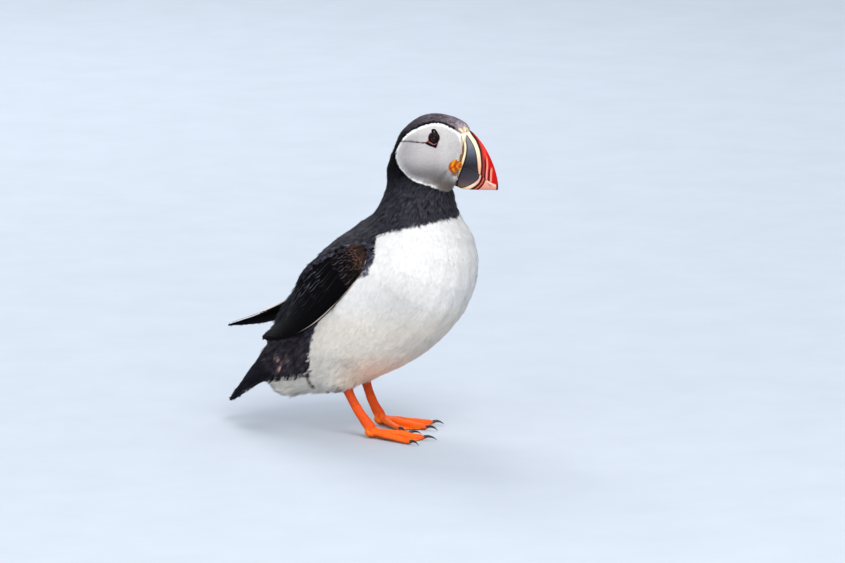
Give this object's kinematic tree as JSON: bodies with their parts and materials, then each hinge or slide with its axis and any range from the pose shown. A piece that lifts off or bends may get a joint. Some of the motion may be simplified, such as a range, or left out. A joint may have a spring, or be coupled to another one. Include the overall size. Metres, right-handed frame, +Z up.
{
  "type": "atlantic puffin",
  "caption": "Still, life-size Atlantic puffin standing on its webbed feet with wings folded and head turned a little to its left.",
  "frame": {"origin": "middle of the bird's bounding box, on the floor that its feet stand on", "axes": "+Z up, the bird's body faces -Y, its left side is towards +X"},
  "size_m": [0.103, 0.1992, 0.2276],
  "materials": {
    "black_feather": "sleek black to brown-black contour feathers, slightly glossy on the wings",
    "white_feather": "dense soft white contour feathers with a satin sheen",
    "face_feather": "very short pale grey face feathers, almost velvet",
    "bill_horn": "smooth horn in ridges of red and orange, semi-gloss",
    "bill_slate": "smooth blue-grey horn, semi-gloss",
    "rosette_skin": "folded yellow-orange skin at the corner of the mouth",
    "leg_skin": "orange scaled skin, webs between the toes, slightly moist gloss",
    "claw_horn": "black horn, smooth",
    "eye_gloss": "dark glossy eye with a red-brown ring"
  },
  "bodies": {
    "root": {"head": "face_feather", "neck": "black_feather", "trunk": "white_feather", "tail": "black_feather", "wing_left": "black_feather", "wing_right": "black_feather", "eye_left": "eye_gloss", "eye_right": "eye_gloss", "gape_left": "rosette_skin", "gape_right": "rosette_skin", "bill_upper": "bill_horn", "bill_lower": "bill_slate", "leg_left": "leg_skin", "leg_right": "leg_skin", "foot_left": "leg_skin", "foot_right": "leg_skin", "claw_left_inner": "claw_horn", "claw_left_middle": "claw_horn", "claw_left_outer": "claw_horn", "claw_right_inner": "claw_horn", "claw_right_middle": "claw_horn", "claw_right_outer": "claw_horn"}
  },
  "joints": []
}
